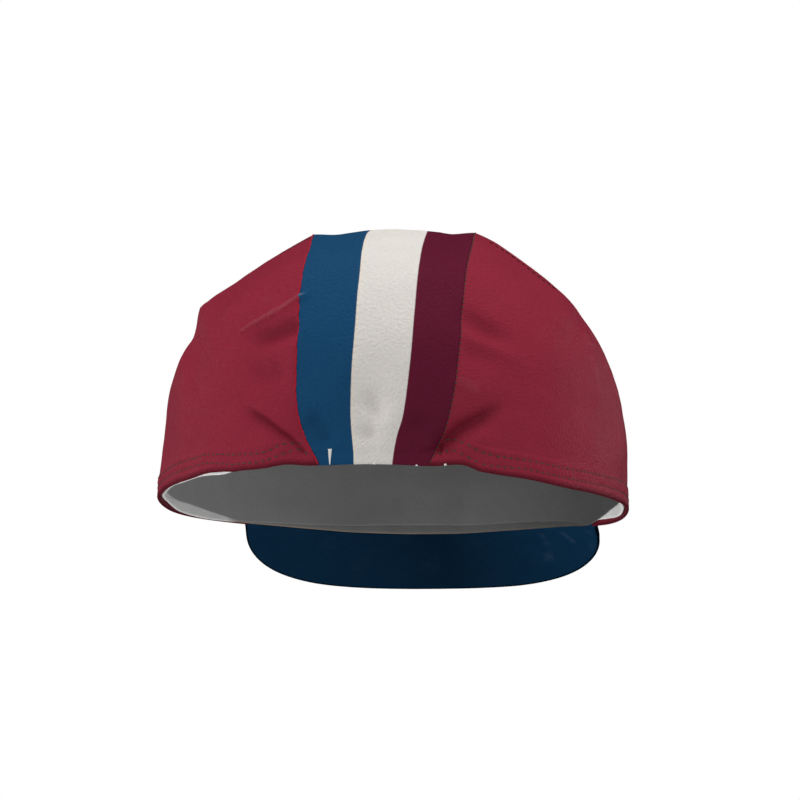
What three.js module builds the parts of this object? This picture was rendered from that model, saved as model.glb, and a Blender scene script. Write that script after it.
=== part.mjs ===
// Cotton cycling cap: a crown of three panels with an inner hem tape, an elastic at the nape and a peak.
// Millimetres. The origin is the centre of the head opening, in the plane of the rim. +Z is up, the peak
// points to -Y, the nape is at +Y, and the wearer's left is +X.
import * as THREE from "three";

// Crown
const HALF_WIDTH = 82; // from the middle to the crown's outside over an ear
const HALF_LENGTH = 100; // from the middle to the forehead or the nape
const CROWN_HEIGHT = 89; // from the rim's plane to the top
const CLOTH = 1.2; // the wall of a crown panel
const GAP = 0.3; // between neighbouring pieces
const STRIP_HALF_WIDTH = 27; // half the middle panel, at its widest
const SEAM_RIDGE = 2.4; // how far the crown stands up along a seam
const SEAM_REACH = 21; // how far to each side of a seam the cloth rises
const FOLD_HEIGHT = 2.4; // the deepest dent and the highest fold
const FOLDS_FROM = 0.2; // folds start this share of the tape's height above the rim
const FOLDS_FULL = 1.4; // and have their full height from this one up

// Hem tape and elastic, inside the rim
const TAPE_HEIGHT = 8;
const TAPE_THICKNESS = 1;
const ELASTIC_HEIGHT = 12;
const ELASTIC_THICKNESS = 1.2;
const ELASTIC_HALF_LENGTH = 29; // from the middle of the nape to the elastic's end
const ELASTIC_PULL = 4.7; // how far the elastic draws the nape in
const ELASTIC_GRIP = 0.85; // share of the elastic over which the nape is drawn flat

// Peak
const PEAK_LENGTH = 53; // from the rim to the peak's edge, in plan
const PEAK_HALF_ANGLE = 56.5; // half the stretch of rim that the peak is sewn to, in degrees
const PEAK_TURN = 6.2; // the peak sits a little towards the wearer's right, in degrees
const PEAK_SLOPE = 0.312; // fall for each millimetre outwards
const PEAK_TILT = 1.8; // how much lower the left corner hangs than the middle
const PEAK_ARCH = 2; // how far the peak arches up between its root and its edge
// How long the peak keeps its length towards each corner, and how softly the corner runs back into the rim
const PEAK_CORNERS = {
  left: { squareness: 4.1, roundness: 1.5 },
  right: { squareness: 3.6, roundness: 1.6 },
};
const PEAK_COVER = 1.4; // the wall of each of the peak's two covers
const HEM_STEP = 0.16; // share of the peak's half angle in which the hem comes down beside it
const HEM_LEVEL = 0.02; // share of the half angle past the peak where the hem is still up

// The crown's plan, from the rim (at 1) to the top (at 0): how far it reaches to each side, as shares of
// HALF_WIDTH or HALF_LENGTH. The corner column is how much fuller the plan is than an ellipse.
const REACHES = [
  { at: 1.0, left: 0.99, right: 0.99, back: 1.0, front: 1.0, corner: 0.0 },
  { at: 0.875, left: 0.98, right: 0.984, back: 1.039, front: 1.023, corner: 0.005 },
  { at: 0.75, left: 0.946, right: 0.965, back: 1.04, front: 1.0, corner: 0.018 },
  { at: 0.625, left: 0.875, right: 0.893, back: 0.955, front: 0.92, corner: 0.033 },
  { at: 0.5, left: 0.758, right: 0.781, back: 0.797, front: 0.782, corner: 0.04 },
  { at: 0.375, left: 0.585, right: 0.641, back: 0.604, front: 0.604, corner: 0.04 },
  { at: 0.25, left: 0.405, right: 0.454, back: 0.406, front: 0.411, corner: 0.03 },
  { at: 0.125, left: 0.21, right: 0.231, back: 0.203, front: 0.208, corner: 0.012 },
  { at: 0.0, left: 0, right: 0, back: 0, front: 0, corner: 0 },
];

// The crown's heights over the same plan, as shares of CROWN_HEIGHT. The wave column is how much higher
// the crown is between the brow and an ear, and how much lower between the nape and an ear.
const RISES = [
  { at: 1.0, side: -0.01, nape: 0.003, brow: 0.02, wave: 0.014 },
  { at: 0.875, side: 0.2, nape: 0.21, brow: 0.215, wave: 0.004 },
  { at: 0.75, side: 0.395, nape: 0.442, brow: 0.419, wave: 0 },
  { at: 0.625, side: 0.572, nape: 0.67, brow: 0.63, wave: 0 },
  { at: 0.5, side: 0.73, nape: 0.805, brow: 0.765, wave: 0 },
  { at: 0.375, side: 0.87, nape: 0.92, brow: 0.893, wave: 0 },
  { at: 0.25, side: 0.965, nape: 0.98, brow: 0.966, wave: 0 },
  { at: 0.125, side: 0.997, nape: 0.995, brow: 0.994, wave: 0 },
  { at: 0.0, side: 1, nape: 1, brow: 1, wave: 0 },
];

// The middle panel's edges, from the front hem (at -1) over the top (at 0) to the nape's hem (at 1):
// its half widths to the left and the right as shares of STRIP_HALF_WIDTH, and the seam's ridge as a
// share of SEAM_RIDGE.
const SEAMS = [
  { at: -1.0, left: 0.86, right: 0.86, ridge: 0.3 },
  { at: -0.75, left: 0.94, right: 0.94, ridge: 0.6 },
  { at: -0.4, left: 1.0, right: 1.0, ridge: 0.95 },
  { at: 0.0, left: 1.0, right: 1.0, ridge: 1.0 },
  { at: 0.3, left: 0.92, right: 1.01, ridge: 1.0 },
  { at: 0.5, left: 0.84, right: 0.97, ridge: 0.85 },
  { at: 0.65, left: 0.86, right: 0.915, ridge: 0.55 },
  { at: 0.78, left: 0.862, right: 0.875, ridge: 0.35 },
  { at: 0.87, left: 0.862, right: 0.82, ridge: 0.2 },
  { at: 0.94, left: 0.775, right: 0.75, ridge: 0.1 },
  { at: 1.0, left: 0.605, right: 0.6, ridge: 0.05 },
];

// Folds and dents in the crown. Each runs from one point of the plan to another: x is a share of
// HALF_WIDTH, y of HALF_LENGTH, width of HALF_WIDTH and rise of FOLD_HEIGHT. A dent's rise is negative.
const FOLDS = [
  { name: "left shoulder", x1: 0.47, y1: -0.15, x2: 0.49, y2: 0.32, width: 0.075, rise: 1.3 },
  { name: "left shoulder dent", x1: 0.61, y1: -0.1, x2: 0.63, y2: 0.3, width: 0.08, rise: -0.65 },
  { name: "left back hollow", x1: 0.4, y1: 0.62, x2: 0.56, y2: 0.52, width: 0.09, rise: -0.75 },
  { name: "left back crease", x1: 0.28, y1: 0.56, x2: 0.56, y2: 0.38, width: 0.06, rise: 0.35 },
  { name: "right shoulder", x1: -0.64, y1: -0.15, x2: -0.62, y2: 0.4, width: 0.1, rise: 0.45 },
  { name: "right side fold", x1: -0.8, y1: 0.3, x2: -0.9, y2: 0.36, width: 0.07, rise: 0.4 },
  { name: "right back hollow", x1: -0.34, y1: 0.6, x2: -0.52, y2: 0.5, width: 0.1, rise: -0.5 },
  { name: "left gather", x1: 0.3, y1: 0.9, x2: 0.44, y2: 0.8, width: 0.05, rise: -0.55 },
  { name: "right gather", x1: -0.3, y1: 0.9, x2: -0.46, y2: 0.78, width: 0.05, rise: -0.55 },
  { name: "nape dimple", x1: -0.02, y1: 0.82, x2: 0.03, y2: 0.86, width: 0.06, rise: -0.5 },
];

// Counts of steps along each piece
const PANEL_COLUMNS = 44;
const PANEL_ROWS = 14;
const STRIP_COLUMNS = 8;
const STRIP_ROWS = 48;
const TAPE_COLUMNS = 72;
const ELASTIC_COLUMNS = 14;
const BAND_ROWS = 2;
const PEAK_COLUMNS = 30;
const PEAK_ROWS = 7;
const HALVINGS = 24; // steps of each search by halving
const SETTLING = 4; // rounds in which a point on the hem settles
const DEEPEST_SHARE = 0.5; // no band stands further in from the rim than this share
const WIDEST_SEAM = 0.7; // no seam is further out than this share
const PLAN_STEP = 0.006; // step over the plan that gives the crown's direction

const NAPE = Math.PI / 2; // angles of the plan are taken from the left ear, turning towards the nape
const BROW = -Math.PI / 2;
const radians = THREE.MathUtils.degToRad;
const clamp = THREE.MathUtils.clamp;
const lerp = THREE.MathUtils.lerp;
const smoothstep = THREE.MathUtils.smoothstep;

// A smooth curve through one column of a table whose rows have rising "at" values.
function curve(rows, column) {
  const slopes = rows.map((row, i) => {
    const a = rows[Math.max(i - 1, 0)];
    const b = rows[Math.min(i + 1, rows.length - 1)];
    return (b[column] - a[column]) / (b.at - a.at);
  });
  return (x) => {
    let i = 0;
    while (i < rows.length - 2 && rows[i + 1].at < x) i += 1;
    const span = rows[i + 1].at - rows[i].at;
    const t = clamp((x - rows[i].at) / span, 0, 1);
    const ends = lerp(rows[i][column], rows[i + 1][column], t * t * (3 - 2 * t));
    return ends + span * t * (1 - t) * (slopes[i] * (1 - t) - slopes[i + 1] * t);
  };
}

// One column of the crown's tables as a curve. Past the top a reach changes sign and a rise comes back.
function outline(table, column, sign) {
  const rows = table.map((row) => ({ at: row.at, value: row[column] })).reverse();
  return curve([{ at: -rows[1].at, value: sign * rows[1].value }, ...rows], "value");
}

const reachLeft = outline(REACHES, "left", -1);
const reachRight = outline(REACHES, "right", -1);
const reachBack = outline(REACHES, "back", -1);
const reachFront = outline(REACHES, "front", -1);
const cornerAt = outline(REACHES, "corner", 1);
const riseSide = outline(RISES, "side", 1);
const riseNape = outline(RISES, "nape", 1);
const riseBrow = outline(RISES, "brow", 1);
const waveAt = outline(RISES, "wave", 1);
const ridgeAt = curve(SEAMS, "ridge");

// The smooth crown over its plan: p and q run from -1 to 1 across and along, and the rim is at 1.
function crown(p, q) {
  const distance = Math.hypot(p, q);
  const share = Math.min(distance, 1);
  const across = distance > 0 ? p / distance : 1;
  const along = distance > 0 ? q / distance : 0;
  const behind = along > 0;
  const quarter = (2 * across * along) ** 2;
  const full = 1 + cornerAt(share) * quarter;
  const width = across > 0 ? reachLeft(share) : reachRight(share);
  const length = behind ? reachBack(share) : reachFront(share);
  const end = behind ? riseNape(share) : riseBrow(share);
  const wave = waveAt(share) * quarter * (behind ? -1 : 1);
  return new THREE.Vector3(
    HALF_WIDTH * width * across * full,
    HALF_LENGTH * length * along * full - (behind ? pullAt(p, share) : 0),
    CROWN_HEIGHT * (riseSide(share) * across ** 2 + end * along ** 2 + wave),
  );
}

// How far the elastic draws the nape in: flat between its ends, and dying out above it.
function pullAt(p, share) {
  const sideways = (p * HALF_WIDTH) / (ELASTIC_HALF_LENGTH * ELASTIC_GRIP);
  const upwards = ((1 - share) * CROWN_HEIGHT) / ELASTIC_HEIGHT;
  return ELASTIC_PULL * Math.exp(-(sideways ** 4) - upwards ** 2);
}

// The smooth crown's outward direction, taken just inside the rim where the point is on it.
function outward(p, q) {
  const inside = Math.min(1, (1 - 2 * PLAN_STEP) / Math.max(Math.hypot(p, q), PLAN_STEP));
  const x = p * inside;
  const y = q * inside;
  const across = crown(x + PLAN_STEP, y).sub(crown(x - PLAN_STEP, y));
  const along = crown(x, y + PLAN_STEP).sub(crown(x, y - PLAN_STEP));
  return across.cross(along).normalize();
}

// The highest value from low to high at which a test that starts out true still holds.
function lastWhere(test, low, high) {
  let yes = low;
  let no = high;
  for (let i = 0; i < HALVINGS; i += 1) {
    const middle = (yes + no) / 2;
    if (test(middle)) yes = middle;
    else no = middle;
  }
  return yes;
}

// The share of the rim at which the crown is the given height above it, in one direction of the plan.
function shareAtHeight(angle, height) {
  const across = Math.cos(angle);
  const along = Math.sin(angle);
  const wanted = crown(across, along).z + height;
  const below = (inward) => crown((1 - inward) * across, (1 - inward) * along).z <= wanted;
  return lastWhere(below, 0, DEEPEST_SHARE);
}

// How far a direction of the plan lies along the peak's root, which runs from -1 at the right to 1.
const PEAK_MIDDLE = BROW - radians(PEAK_TURN);
function alongPeak(angle) {
  const turn = Math.atan2(Math.sin(angle - PEAK_MIDDLE), Math.cos(angle - PEAK_MIDDLE));
  return turn / radians(PEAK_HALF_ANGLE);
}

// The share of the rim where the crown's hem is. It rises over the peak's root, two covers and gaps thick.
const PEAK_STACK = 2 * PEAK_COVER + 2 * GAP;
function hemShare(angle) {
  const over = 1 - smoothstep(Math.abs(alongPeak(angle)), 1 + HEM_LEVEL, 1 + HEM_STEP);
  return 1 - shareAtHeight(angle, PEAK_STACK * over);
}

// Where the hem lies at a given p, towards the nape (end 1) or the brow (end -1).
function hemAt(p, end) {
  let q = end * Math.sqrt(1 - p * p);
  for (let i = 0; i < SETTLING; i += 1) q = end * Math.sqrt(hemShare(Math.atan2(q, p)) ** 2 - p * p);
  return q;
}

// The edge of a piece along a seam, some millimetres beside the seam, as a curve of p by station.
function seamLine(side, column, beside) {
  const rows = SEAMS.map((row) => {
    const wanted = STRIP_HALF_WIDTH * row[column] + beside;
    const end = row.at < 0 ? -1 : 1;
    const narrow = (p) => Math.abs(crown(side * p, Math.abs(row.at) * hemAt(side * p, end)).x) < wanted;
    return { at: row.at, p: side * lastWhere(narrow, 0, WIDEST_SEAM) };
  });
  return curve(rows, "p");
}

const LEFT = { side: 1, strip: seamLine(1, "left", -GAP / 2), panel: seamLine(1, "left", GAP / 2) };
const RIGHT = { side: -1, strip: seamLine(-1, "right", -GAP / 2), panel: seamLine(-1, "right", GAP / 2) };

// How far a point of the plan is from a fold's line.
function distanceTo(fold, p, q) {
  const dx = fold.x2 - fold.x1;
  const dy = fold.y2 - fold.y1;
  const t = clamp(((p - fold.x1) * dx + (q - fold.y1) * dy) / (dx * dx + dy * dy), 0, 1);
  return Math.hypot(p - fold.x1 - t * dx, q - fold.y1 - t * dy);
}

// How far the cloth stands off the smooth crown: ridges along the seams, and folds that end above the hem.
function relief(p, q) {
  const seam = p > 0 ? LEFT : RIGHT;
  const station = clamp(q / Math.sqrt(Math.max(1 - p * p, PLAN_STEP)), -1, 1);
  const beside = Math.abs(crown(p, q).x - crown(seam.panel(station), q).x);
  const ridge = SEAM_RIDGE * ridgeAt(station) * Math.max(1 - beside / SEAM_REACH, 0) ** 2;
  const above = ((1 - Math.hypot(p, q)) * CROWN_HEIGHT) / TAPE_HEIGHT;
  const folds = FOLDS.map((fold) => fold.rise * Math.exp(-((distanceTo(fold, p, q) / fold.width) ** 2)));
  const folded = folds.reduce((sum, rise) => sum + rise, 0);
  return ridge + FOLD_HEIGHT * folded * smoothstep(above, FOLDS_FROM, FOLDS_FULL);
}

// A point of the crown's cloth, at some depth under its outer face.
function cloth(p, q, depth) {
  return crown(p, q).addScaledVector(outward(p, q), relief(p, q) - depth);
}

// Six times the volume inside a closed set of triangles, negative where they face inwards.
function volume(positions, faces) {
  const corner = (n) => new THREE.Vector3().fromArray(positions, 3 * faces[n]);
  let sum = 0;
  for (let n = 0; n < faces.length; n += 3) sum += corner(n).dot(corner(n + 1).cross(corner(n + 2)));
  return sum;
}

// A closed body between two faces. pointAt(u, v, face) gives their points, with u and v from 0 to 1,
// and face 0 outside and 1 inside. Points that fall together are one.
function body(columns, rows, pointAt) {
  const positions = [];
  const places = new Map();
  const faces = [];
  const index = (i, j, face) => {
    const point = pointAt(i / columns, j / rows, face);
    const key = point.toArray().map((value) => value.toFixed(4)).join();
    if (!places.has(key)) {
      places.set(key, places.size);
      positions.push(...point.toArray());
    }
    return places.get(key);
  };
  const line = (i, face) => Array.from({ length: rows + 1 }, (_, j) => index(i, j, face));
  const grid = (face) => Array.from({ length: columns + 1 }, (_, i) => line(i, face));
  const triangle = (a, b, c) => {
    if (a !== b && b !== c && c !== a) faces.push(a, b, c);
  };
  const quad = (a, b, c, d) => {
    triangle(a, b, c);
    triangle(a, c, d);
  };
  const outer = grid(0);
  const inner = grid(1);
  for (let i = 0; i < columns; i += 1) {
    for (let j = 0; j < rows; j += 1) {
      quad(outer[i][j], outer[i + 1][j], outer[i + 1][j + 1], outer[i][j + 1]);
      quad(inner[i][j], inner[i][j + 1], inner[i + 1][j + 1], inner[i + 1][j]);
    }
    quad(inner[i][0], inner[i + 1][0], outer[i + 1][0], outer[i][0]);
    quad(outer[i][rows], outer[i + 1][rows], inner[i + 1][rows], inner[i][rows]);
  }
  for (let j = 0; j < rows; j += 1) {
    quad(outer[0][j], outer[0][j + 1], inner[0][j + 1], inner[0][j]);
    quad(inner[columns][j], inner[columns][j + 1], outer[columns][j + 1], outer[columns][j]);
  }
  if (volume(positions, faces) < 0) faces.reverse();
  const geometry = new THREE.BufferGeometry();
  geometry.setAttribute("position", new THREE.Float32BufferAttribute(positions, 3));
  geometry.setIndex(faces);
  geometry.computeVertexNormals();
  return geometry;
}

// A side panel, in columns from its seam out to the hem.
function sidePanel(seam) {
  const endAngle = (end) => Math.atan2(hemAt(seam.panel(end), end), Math.abs(seam.panel(end)));
  const back = endAngle(1);
  const front = endAngle(-1);
  return body(PANEL_COLUMNS, PANEL_ROWS, (u, v, face) => {
    const turn = lerp(back, front, u);
    const angle = seam.side > 0 ? turn : Math.PI - turn;
    const hemP = hemShare(angle) * Math.cos(angle);
    const hemQ = hemShare(angle) * Math.sin(angle);
    const end = hemQ > 0 ? 1 : -1;
    const station = clamp(hemQ / Math.abs(hemAt(seam.panel(end), end)), -1, 1);
    const seamP = seam.panel(station);
    const seamQ = Math.abs(station) * hemAt(seamP, end);
    return cloth(lerp(seamP, hemP, v), lerp(seamQ, hemQ, v), face * CLOTH);
  });
}

// The middle panel, from the front hem over the top to the nape.
function middlePanel() {
  return body(STRIP_COLUMNS, STRIP_ROWS, (u, v, face) => {
    const station = lerp(-1, 1, v);
    const p = lerp(RIGHT.strip(station), LEFT.strip(station), u);
    const q = Math.abs(station) * hemAt(p, station > 0 ? 1 : -1);
    return cloth(p, q, face * CLOTH);
  });
}

// A band against the crown's inside, standing up from the rim between two directions of the plan.
function band(columns, from, to, height, thickness) {
  return body(columns, BAND_ROWS, (u, v, face) => {
    const angle = lerp(from, to, u);
    const share = 1 - shareAtHeight(angle, v * height);
    return cloth(share * Math.cos(angle), share * Math.sin(angle), CLOTH + GAP + face * thickness);
  });
}

// The turn from the nape at which the rim is so far from the middle.
function turnAt(distance) {
  return lastWhere((turn) => crown(Math.sin(turn), Math.cos(turn)).x < distance, 0, NAPE);
}

// One of the peak's covers. Its root is under the crown's hem and outside the tape, and level is how far
// its lower face is above the peak's underside.
function peakCover(level) {
  return body(PEAK_COLUMNS, PEAK_ROWS, (u, v, face) => {
    const place = Math.sin(lerp(BROW, NAPE, u));
    const angle = PEAK_MIDDLE + radians(PEAK_HALF_ANGLE) * place;
    const rim = crown(Math.cos(angle), Math.sin(angle));
    const wall = 1 - shareAtHeight(angle, level + PEAK_COVER);
    const root = cloth(wall * Math.cos(angle), wall * Math.sin(angle), CLOTH).setZ(rim.z);
    const away = rim.clone().setZ(0).normalize();
    const corner = place > 0 ? PEAK_CORNERS.left : PEAK_CORNERS.right;
    const reach = PEAK_LENGTH * (1 - Math.abs(place) ** corner.squareness) ** corner.roundness;
    const out = v * (reach + CLOTH);
    const share = (v * reach) / PEAK_LENGTH;
    const fall = PEAK_SLOPE * out + PEAK_TILT * place * share;
    const arch = PEAK_ARCH * 4 * share * (1 - share);
    const height = level + (1 - face) * PEAK_COVER + arch - fall;
    return root.addScaledVector(away, out).add(new THREE.Vector3(0, 0, height));
  });
}

function piece(name, geometry, color) {
  const material = new THREE.MeshStandardMaterial({ color, roughness: 0.85, metalness: 0 });
  const mesh = new THREE.Mesh(geometry, material);
  mesh.name = name;
  return mesh;
}

const RED = 0x862a39;
const WHITE = 0xd4cfc9;
const NAVY = 0x123551;
const elasticTurn = turnAt(ELASTIC_HALF_LENGTH);
const tapeStart = NAPE + turnAt(ELASTIC_HALF_LENGTH + GAP);
const tapeEnd = NAPE + 2 * Math.PI - turnAt(ELASTIC_HALF_LENGTH + GAP);
const tape = band(TAPE_COLUMNS, tapeStart, tapeEnd, TAPE_HEIGHT, TAPE_THICKNESS);
const elastic = band(
  ELASTIC_COLUMNS,
  NAPE - elasticTurn,
  NAPE + elasticTurn,
  ELASTIC_HEIGHT,
  ELASTIC_THICKNESS,
);

const cap = new THREE.Group();
cap.add(
  piece("left_panel", sidePanel(LEFT), RED),
  piece("right_panel", sidePanel(RIGHT), RED),
  piece("center_strip", middlePanel(), WHITE),
  piece("hem_tape", tape, WHITE),
  piece("back_elastic", elastic, WHITE),
  piece("peak_top", peakCover(PEAK_COVER + GAP), NAVY),
  piece("peak_under", peakCover(0), NAVY),
);

export default cap;
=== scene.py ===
import math

import bmesh
import bpy
import numpy as np
from mathutils import Matrix


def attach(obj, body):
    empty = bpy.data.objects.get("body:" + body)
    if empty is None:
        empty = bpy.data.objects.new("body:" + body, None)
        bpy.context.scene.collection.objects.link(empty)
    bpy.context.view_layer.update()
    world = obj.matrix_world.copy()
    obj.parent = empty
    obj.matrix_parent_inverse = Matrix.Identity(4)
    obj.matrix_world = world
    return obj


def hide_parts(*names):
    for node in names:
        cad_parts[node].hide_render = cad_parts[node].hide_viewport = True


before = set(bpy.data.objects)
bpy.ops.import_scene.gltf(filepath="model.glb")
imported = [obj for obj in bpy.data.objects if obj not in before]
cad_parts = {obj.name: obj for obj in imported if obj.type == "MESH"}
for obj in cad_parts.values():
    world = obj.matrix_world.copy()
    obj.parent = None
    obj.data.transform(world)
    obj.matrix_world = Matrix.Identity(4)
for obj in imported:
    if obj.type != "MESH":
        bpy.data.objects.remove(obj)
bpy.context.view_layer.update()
MM = 0.001


def unit(vectors):
    return vectors / np.maximum(np.linalg.norm(vectors, axis=-1, keepdims=True), 1e-12)


# Camera: behind the nape and a little below the rim, looking up
CAMERA_DISTANCE = 560.0
CAMERA_TARGET = np.array([-1.6, 0.0, 38.7])
CAMERA_AZIMUTH = math.radians(180 + 3.07)
CAMERA_ELEVATION = math.radians(-11.43)
CAMERA_ROLL = math.radians(1.085)


def linked(name, data):
    thing = bpy.data.objects.new(name, data)
    bpy.context.scene.collection.objects.link(thing)
    return thing


def stand(thing, right, up, back, place):
    """Puts a camera or a lamp in its place, looking away from back."""
    turned = np.eye(4)
    turned[:3] = np.stack([right, up, back, place], -1)
    thing.matrix_world = Matrix(turned.tolist())


def look_at_the_nape():
    level = math.cos(CAMERA_ELEVATION)
    back = np.array(
        [math.sin(CAMERA_AZIMUTH) * level, -math.cos(CAMERA_AZIMUTH) * level, math.sin(CAMERA_ELEVATION)]
    )
    right = unit(np.cross(-back, [0.0, 0.0, 1.0]))
    up = np.cross(right, -back)
    data = bpy.data.cameras.new("camera")
    data.sensor_width = 36.0
    data.lens = 71.0
    data.clip_start = 0.01
    camera = linked("camera", data)
    rolled_right = right * math.cos(CAMERA_ROLL) + up * math.sin(CAMERA_ROLL)
    rolled_up = up * math.cos(CAMERA_ROLL) - right * math.sin(CAMERA_ROLL)
    stand(camera, rolled_right, rolled_up, back, (CAMERA_TARGET + back * CAMERA_DISTANCE) * MM)
    bpy.context.scene.camera = camera


look_at_the_nape()


# SHAPE
def columns(*rows):
    """The columns of a table, each as an array."""
    return np.array(rows, dtype=float).T


# Sizes in millimetres, as in the solids but for the peak's outline
HALF_WIDTH = 82.0
HALF_LENGTH = 100.0
CROWN_HEIGHT = 89.0
CLOTH = 1.2
SEAM_GAP = -0.3
STRIP_HALF_WIDTH = 27.0
SEAM_RIDGE = 2.4
SEAM_REACH = 21.0
TAPE_HEIGHT = 8.0
TAPE_THICKNESS = 1.0
ELASTIC_HEIGHT = 12.0
ELASTIC_THICKNESS = 1.2
ELASTIC_HALF_LENGTH = 29.0
ELASTIC_PULL = 4.7
ELASTIC_GRIP = 0.85
ELASTIC_EDGE = 0.75
LINING_THICKNESS = 0.25
LINING_GAP = 0.15
LINING_CLEAR = 0.2
PEAK_LENGTH = 51.4
PEAK_HALF_ANGLE = math.radians(61.0)
PEAK_TURN = math.radians(9.3)
PEAK_SLOPE = 0.337
PEAK_TILT = 1.62
PEAK_ARCH = 2.0
PEAK_COVER = 1.4
PEAK_GAP = 0.3
PEAK_STACK = 2 * PEAK_COVER + 2 * PEAK_GAP
PEAK_SQUARENESS = {"left": 4.9, "right": 3.3}
PEAK_ROUNDNESS = {"left": 1.9, "right": 2.73}
# Near its ends, from one place to the other along its root, the peak comes up and out from under the hem
PEAK_ENDS = (0.86, 0.95)
PEAK_END_RISE = 0.9
PEAK_END_SHARE = 0.75
# The hem is drawn up over the peak between these angles, in a step as wide as this. Here and in the tables
# angles are in degrees from the nape to the wearer's left
HEM_OVER_PEAK = {"left": 130.8, "right": -116.6}
HEM_STEP = 1.0
NAPE = math.pi / 2
BROW = -math.pi / 2
PEAK_MIDDLE = BROW - PEAK_TURN
# How finely shapes are worked out, and how far in from the rim places and how far out seams are looked for
PLAN_STEP = 0.006
HALVINGS = 26
HEM_ROUNDS = 6
HEM_SAMPLES = 2881
FURTHEST_IN = 0.5
FURTHEST_SEAM = 0.7

# The crown's plan, as shares of HALF_WIDTH and HALF_LENGTH: at, left, right, back, front, corner
REACHES = columns(
    (0.0, 0, 0, 0, 0, 0),
    (0.125, 0.21, 0.231, 0.203, 0.208, 0.012),
    (0.25, 0.405, 0.454, 0.406, 0.411, 0.03),
    (0.375, 0.585, 0.641, 0.604, 0.604, 0.04),
    (0.5, 0.758, 0.781, 0.797, 0.782, 0.04),
    (0.625, 0.875, 0.893, 0.955, 0.92, 0.033),
    (0.75, 0.946, 0.965, 1.04, 1.0, 0.018),
    (0.875, 0.974, 0.984, 1.039, 1.023, 0.005),
    (1.0, 0.984, 0.99, 1.0, 1.0, 0.0),
)
# Its heights over the same plan, as shares of CROWN_HEIGHT: at, side, nape, brow, wave
RISES = columns(
    (0.0, 1, 1, 1, 0),
    (0.125, 0.997, 0.995, 0.994, 0),
    (0.25, 0.965, 0.98, 0.966, 0),
    (0.375, 0.87, 0.92, 0.893, 0),
    (0.5, 0.73, 0.805, 0.765, 0),
    (0.625, 0.572, 0.67, 0.63, 0),
    (0.75, 0.395, 0.442, 0.419, 0),
    (0.875, 0.2, 0.21, 0.215, 0.004),
    (1.0, -0.01, 0.003, 0.02, 0.014),
)
# The middle panel from the brow's hem to the nape's: at, left and right half widths as shares of
# STRIP_HALF_WIDTH, the seam's ridge as a share of SEAM_RIDGE
SEAMS = columns(
    (-1.0, 0.86, 0.86, 0.3),
    (-0.75, 0.94, 0.94, 0.6),
    (-0.4, 1.0, 1.0, 0.95),
    (0.0, 1.0, 1.0, 1.0),
    (0.3, 0.92, 1.01, 1.0),
    (0.5, 0.84, 0.97, 0.85),
    (0.65, 0.86, 0.915, 0.55),
    (0.78, 0.862, 0.875, 0.35),
    (0.87, 0.862, 0.81, 0.2),
    (0.94, 0.775, 0.72, 0.1),
    (1.0, 0.61, 0.555, 0.05),
)
# How far the hem's edge waves up or down: angle, millimetres
HEM_LIFTS = columns(
    (-130, 0), (-117, -0.4), (-108, -0.8), (-98, -0.8), (-88, -0.5), (-80, -0.4), (-65, -0.6), (-53, -0.8),
    (-44, -1.1), (-34, -0.8), (-22.5, -0.7), (-18, 0.85), (-11.6, 0), (0, 0), (14, -0.1), (19.2, 0.5),
    (24.7, 0), (31.4, 0.35), (38, 0), (46, 0.15), (54, -0.1), (61, 0.4), (68, 0.35), (95, 0),
)
HEM_WAVE_FROM = 0.9
# How far the cloth's hem is drawn up above the tape's edge: angle, millimetres
HEM_RISES = columns(
    (-180, 0), (32, 0), (36, 0.9), (41, 1.5), (47, 1.0), (54, 1.1), (61, 0.4), (68, 0), (180, 0),
)


def smoothstep(x, low, high):
    t = np.clip((x - low) / (high - low), 0, 1)
    return t * t * (3 - 2 * t)


def curve(at, values):
    """A smooth curve through the values."""
    at, values = np.asarray(at, float), np.asarray(values, float)
    slopes = np.empty_like(values)
    slopes[1:-1] = (values[2:] - values[:-2]) / (at[2:] - at[:-2])
    slopes[0] = (values[1] - values[0]) / (at[1] - at[0])
    slopes[-1] = (values[-1] - values[-2]) / (at[-1] - at[-2])

    def value(x):
        x = np.clip(x, at[0], at[-1])
        i = np.clip(np.searchsorted(at, x, side="right") - 1, 0, len(at) - 2)
        span = at[i + 1] - at[i]
        t = (x - at[i]) / span
        level = values[i] + (values[i + 1] - values[i]) * t * t * (3 - 2 * t)
        return level + span * t * (1 - t) * (slopes[i] * (1 - t) - slopes[i + 1] * t)

    return value


def over_the_top(at, values, sign):
    """A column of the crown's tables as a curve that runs smoothly over the top."""
    return curve([-at[1], *at], [sign * values[1], *values])


def curves(table):
    return [curve(table[0], column) for column in table[1:]]


reach_left, reach_right, reach_back, reach_front = (over_the_top(REACHES[0], c, -1) for c in REACHES[1:5])
corner_at = over_the_top(REACHES[0], REACHES[5], 1)
rise_side, rise_nape, rise_brow, wave_at = (over_the_top(RISES[0], c, 1) for c in RISES[1:])
ridge_at = curve(SEAMS[0], SEAMS[3])
hem_lift, hem_rise = curve(*HEM_LIFTS), curve(*HEM_RISES)


def from_nape(angle):
    """Degrees from the nape, towards the wearer's left."""
    return np.degrees(np.arctan2(np.sin(NAPE - angle), np.cos(NAPE - angle)))


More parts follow.
